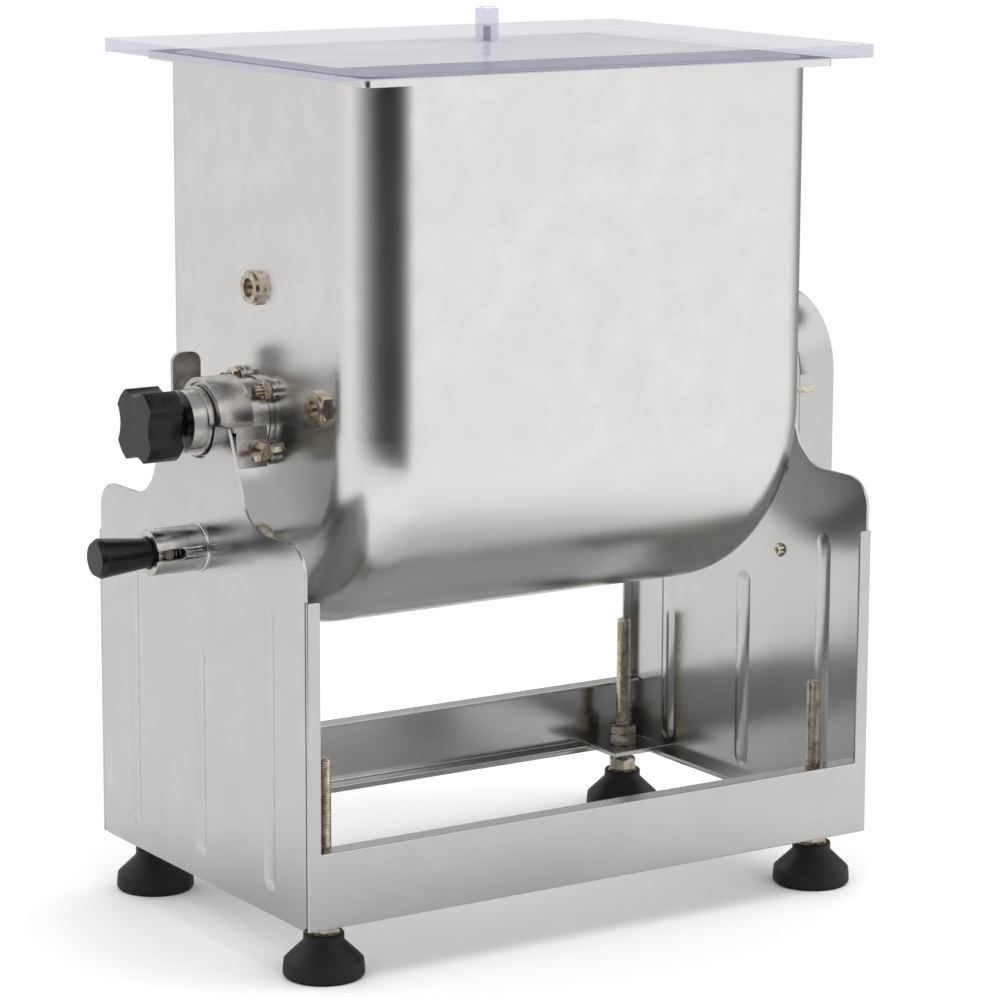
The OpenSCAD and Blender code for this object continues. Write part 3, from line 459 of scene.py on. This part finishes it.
def make_feet():
    """Each foot's rubber pad, and its stud with the cup and the nut above it."""
    for corner, body in CORNERS.items():
        pad, stud = "foot_pad_" + corner, "foot_stud_" + corner
        centre = middle(pad)
        stud_low, stud_high = (corner.z for corner in box_mm(stud))
        pad_high = box_mm(pad)[1].z
        bm = bmesh.new()
        lathe(bm, centre, PAD_PROFILE)
        add_piece("rubber_" + corner, bm, body, "foot_rubber", pad)
        bm = bmesh.new()
        thread(bm, centre, stud_low + FOOT_NUT_H, stud_high)
        nut(bm, centre, pad_high, pad_high + FOOT_NUT_H)
        lathe(bm, centre, CUP_PROFILE, closed=True)
        add_piece("stud_" + corner, bm, body, "zinc_steel", stud)


def make_frame_nuts():
    """The nuts welded to the gussets, and the nuts that lock the studs."""
    for node in ("weld_nuts", "jam_nuts"):
        low, high = (corner.z for corner in box_mm(node))
        bm = bmesh.new()
        for corner in CORNERS:
            nut(bm, middle("foot_pad_" + corner), low, high)
        add_piece(node + "_fine", bm, "root", "zinc_steel", node)


def make_tube_weld():
    """The weld bead round the lock tube's foot."""
    low, high = box_mm("lock_tube")
    tube_radius = (high.y - low.y) / 2
    section = []
    for step in range(WELD_STEPS + 1):
        angle = math.pi / 2 * step / WELD_STEPS
        section.append((tube_radius + WELD_RADIUS * math.cos(angle), WELD_RADIUS * math.sin(angle)))
    section.append((tube_radius - WELD_OVERLAP, 0.0))
    bm = bmesh.new()
    lathe(bm, Vector(), section, closed=True)
    foot = (low + high) / 2
    foot.x = box_mm("side_panel_left")[0].x
    sideways = Matrix.Rotation(-math.pi / 2, 4, "Y")
    bmesh.ops.transform(bm, matrix=Matrix.Translation(foot * MM) @ sideways, verts=bm.verts)
    add_piece("lock_tube_weld", bm, "root", "stand_steel")


def make_lock_spring():
    """The lock spring as a wound coil, on a mesh of its own."""
    low, high = box_mm("lock_spring")
    axis = (low + high) / 2
    coil_radius = (high.z - low.z) / 2 - SPRING_WIRE_RADIUS
    first, last = low.x + SPRING_WIRE_RADIUS, high.x - SPRING_WIRE_RADIUS
    count = SPRING_TURNS * SPRING_STEPS
    bm = bmesh.new()
    rings = []
    for index in range(count + 1):
        angle = 2 * math.pi * index / SPRING_STEPS
        outward = Vector((0, math.cos(angle), math.sin(angle)))
        core = Vector((first + (last - first) * index / count, axis.y, axis.z)) + outward * coil_radius
        section = []
        for step in range(SPRING_SIDES):
            turn = 2 * math.pi * step / SPRING_SIDES
            offset = (outward * math.cos(turn) + X_AXIS * math.sin(turn)) * SPRING_WIRE_RADIUS
            section.append(bm.verts.new((core + offset) * MM))
        rings.append(section)
    skin(bm, rings)
    piece = add_piece("lock_spring_coil", bm, "root", "spring_steel", "lock_spring")
    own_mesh(piece)


# ---------- studio ----------

CAMERA_PLACE = Vector((-1.2445, -1.9599, 0.6973))
CAMERA_HEADING = math.radians(32.93)
CAMERA_PITCH = math.radians(10.86)
CAMERA_ROLL = math.radians(0.221)
CAMERA_LENS = 135.86


def make_camera():
    """A long lens, aimed down at the machine from its front left."""
    data = bpy.data.cameras.new("camera")
    data.lens = CAMERA_LENS
    camera = bpy.data.objects.new("camera", data)
    bpy.context.scene.collection.objects.link(camera)
    level = Vector((math.sin(CAMERA_HEADING), math.cos(CAMERA_HEADING), 0))
    ahead = level * math.cos(CAMERA_PITCH) - Z_AXIS * math.sin(CAMERA_PITCH)
    right = ahead.cross(Z_AXIS).normalized()
    up = right.cross(ahead)
    rolled_right = right * math.cos(CAMERA_ROLL) + up * math.sin(CAMERA_ROLL)
    rolled_up = up * math.cos(CAMERA_ROLL) - right * math.sin(CAMERA_ROLL)
    turn = Matrix((rolled_right, rolled_up, -ahead)).transposed()
    camera.matrix_world = Matrix.Translation(CAMERA_PLACE) @ turn.to_4x4()
    bpy.context.scene.camera = camera


# Brightness of the room by heading, in degrees from the front, positive towards the drive side
ROOM = [
    (-180, 0.78), (-125, 0.82), (-108, 1.05), (-92, 0.72), (-72, 0.28), (-52, 0.02), (-12, 0.01),
    (3, 0.40), (13, 1.08), (32, 1.16), (75, 1.10), (95, 0.60), (112, 0.20), (140, 0.36), (180, 0.78),
]
# The raised panels and the gap straight above: the sines of the heights they start and are full at,
# and their brightness
ROOM_LAYERS = [(0.25, 0.50, 1.15), (0.70, 0.86, 0.2)]
WHITE = (1, 1, 1, 1)


def fill_room_ramp(stops):
    """Sets a new ramp's stops to the room's brightness by heading."""
    for index, (degrees, value) in enumerate(ROOM):
        place = (degrees + 180) / 360
        stop = stops[index] if index < 2 else stops.new(place)
        stop.position = place
        stop.color = grey(value)


def make_room():
    """A white studio: soft panels all round, a dark gap beside the camera, and a soft ceiling."""
    world = bpy.data.worlds.new("studio")
    bpy.context.scene.world = world
    world.use_nodes = True
    room = Nodes(world.node_tree)
    direction = room.parts(room.node("ShaderNodeTexCoord", {}).outputs["Generated"])
    towards_front = room.calculate("MULTIPLY", direction["Y"], -1)
    heading = room.calculate("ARCTAN2", direction["X"], towards_front)
    full_circle = {"Value": heading, "From Min": -math.pi, "From Max": math.pi}
    share = room.node("ShaderNodeMapRange", full_circle)
    ramp = room.node("ShaderNodeValToRGB", {"Fac": share.outputs["Result"]})
    ramp.color_ramp.interpolation = "B_SPLINE"
    fill_room_ramp(ramp.color_ramp.elements)
    light = ramp.outputs["Color"]
    for start, full, value in ROOM_LAYERS:
        light = room.blend(room.spread(direction["Z"], 0, 1, start, full), light, grey(value))
    camera_ray = room.node("ShaderNodeLightPath", {}).outputs["Is Camera Ray"]
    room.feed(room.tree.nodes["Background"].inputs["Color"], room.blend(camera_ray, light, WHITE))


FLOOR_RADIUS = 1.3
FLOOR_STEPS = 128
FLOOR_MIDDLE = (-0.35, 0.5)
# In reflections the floor goes from a painted shadow tone under the machine to a plain table tone away
# from it
SHADOW_RADIUS = 0.2
SHADOWED_TABLE_TONE = 0.5
FAR_TONE = 0.74


def floor_material():
    """A pale finish that takes a table's tone in reflections, with a painted shadow that darkens it
    towards the machine.
    """
    finish = Finish("floor_look", Roughness=0.7)
    cloud = finish.noise(finish.place(), scale=6.0)
    pale = finish.blend(cloud, grey(0.93), grey(0.96))
    machine = (-FLOOR_MIDDLE[0], -FLOOR_MIDDLE[1], 0)
    to_machine = {0: finish.place(), 1: machine}
    offset = finish.node("ShaderNodeVectorMath", to_machine, operation="DISTANCE").outputs["Value"]
    # Painted shadow: the floor seen in reflections darkens near the machine, as if the machine shaded it
    far = finish.spread(offset, 0, 1, SHADOW_RADIUS, 2 * SHADOW_RADIUS)
    mirrored_with_painted_shadow = finish.blend(far, grey(SHADOWED_TABLE_TONE), grey(FAR_TONE))
    glossy_ray = finish.node("ShaderNodeLightPath", {}).outputs["Is Glossy Ray"]
    finish.drive(Base_Color=finish.blend(glossy_ray, pale, mirrored_with_painted_shadow))
    return finish.material


def make_floor():
    """A round floor under the machine, wide enough to fill the view."""
    bm = bmesh.new()
    bmesh.ops.create_circle(bm, cap_ends=True, segments=FLOOR_STEPS, radius=FLOOR_RADIUS)
    mesh = bpy.data.meshes.new("floor")
    bm.to_mesh(mesh)
    bm.free()
    mesh.materials.append(floor_material())
    floor = bpy.data.objects.new("floor", mesh)
    floor.location = (*FLOOR_MIDDLE, cad_low.z)
    bpy.context.scene.collection.objects.link(floor)


PANEL_PLACE = Vector((0.2, -0.3, 2.4))
PANEL_SIZE = 1.6
PANEL_POWER = 18
SUN_POWER = 1.5
SUN_ANGLE = math.radians(100)


def add_light(name, kind, power):
    """A light that glossy surfaces don't mirror, since the room does that."""
    data = bpy.data.lights.new(name, kind)
    data.energy = power
    light = bpy.data.objects.new(name, data)
    light.visible_glossy = False
    bpy.context.scene.collection.objects.link(light)
    return light


def make_lights():
    """A soft square panel aimed at the machine, and even light from above with soft shadows."""
    panel = add_light("ceiling_panel", "AREA", PANEL_POWER)
    panel.data.size = PANEL_SIZE
    panel.location = PANEL_PLACE
    aim = (cad_low + cad_high) / 2 - PANEL_PLACE
    panel.rotation_euler = aim.to_track_quat("-Z", "Y").to_euler()
    sun = add_light("even_top_light", "SUN", SUN_POWER)
    sun.data.angle = SUN_ANGLE


dress_nodes()
soften_nodes()
make_feet()
make_frame_nuts()
make_tube_weld()
make_lock_spring()
make_camera()
make_room()
make_floor()
make_lights()
bpy.context.scene.view_settings.view_transform = "Standard"
